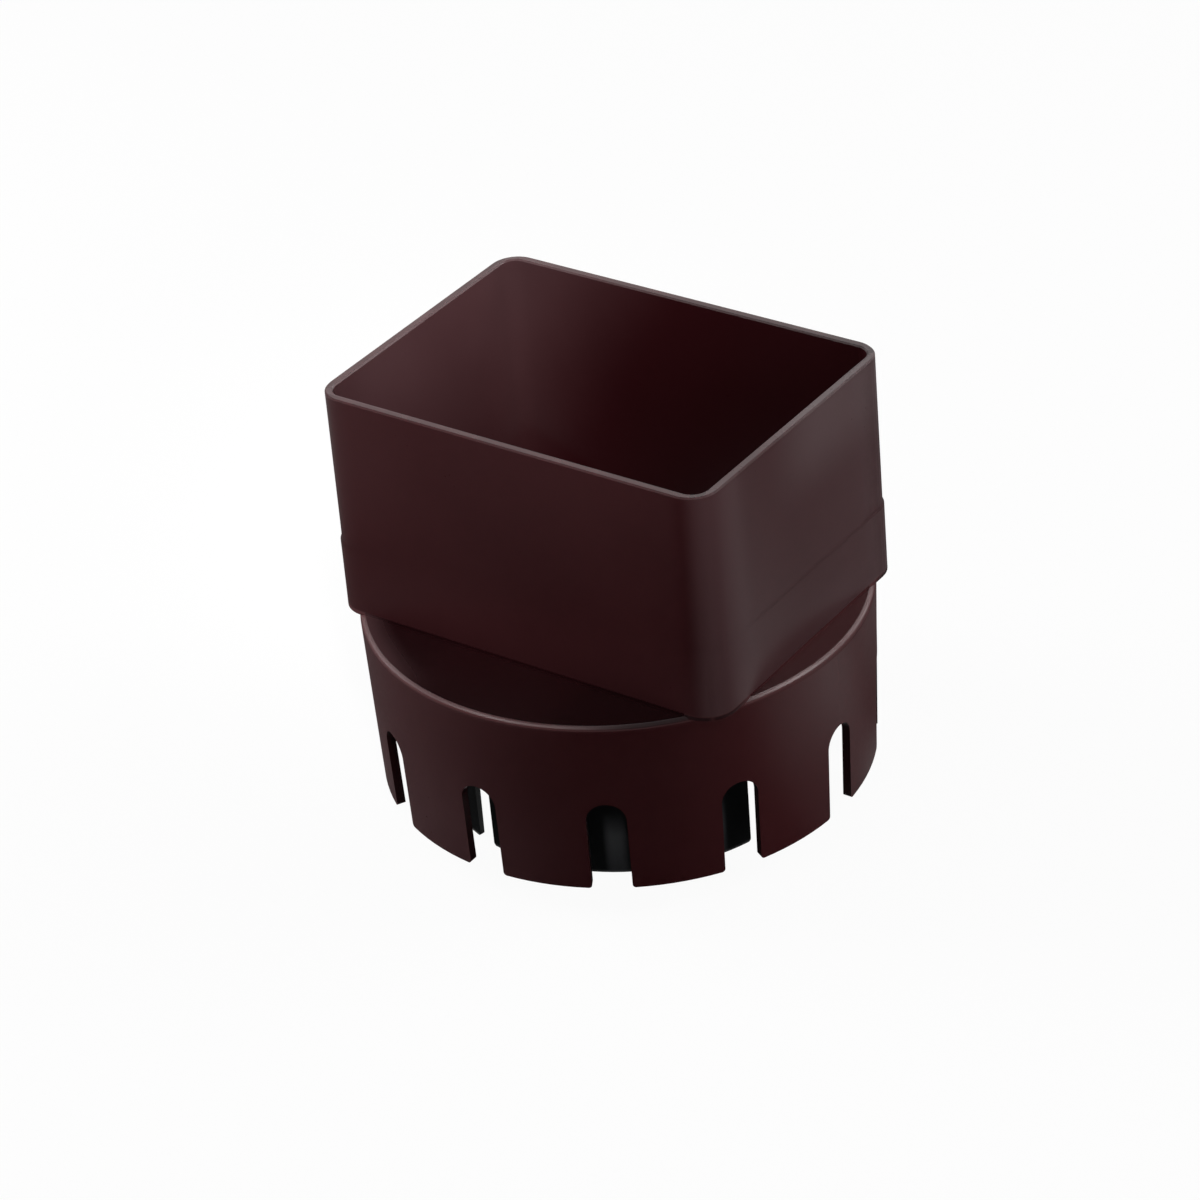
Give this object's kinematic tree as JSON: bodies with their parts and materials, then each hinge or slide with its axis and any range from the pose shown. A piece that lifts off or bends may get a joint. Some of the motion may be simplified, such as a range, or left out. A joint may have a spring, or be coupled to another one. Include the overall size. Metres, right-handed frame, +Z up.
{
  "type": "downspout adapter",
  "caption": "Rectangular downspout socket on a round shoulder with two concentric slotted rings, for a large or a small round drain pipe.",
  "frame": {"origin": "middle of the foot of the inner ring, on which the adapter stands", "axes": "+Z up towards the socket's mouth, +X along the socket's long side"},
  "size_m": [0.1006, 0.1004, 0.0893],
  "materials": {
    "moulding": "satin moulded plastic, dark chocolate brown"
  },
  "bodies": {
    "root": {"adapter": "moulding"}
  },
  "joints": []
}
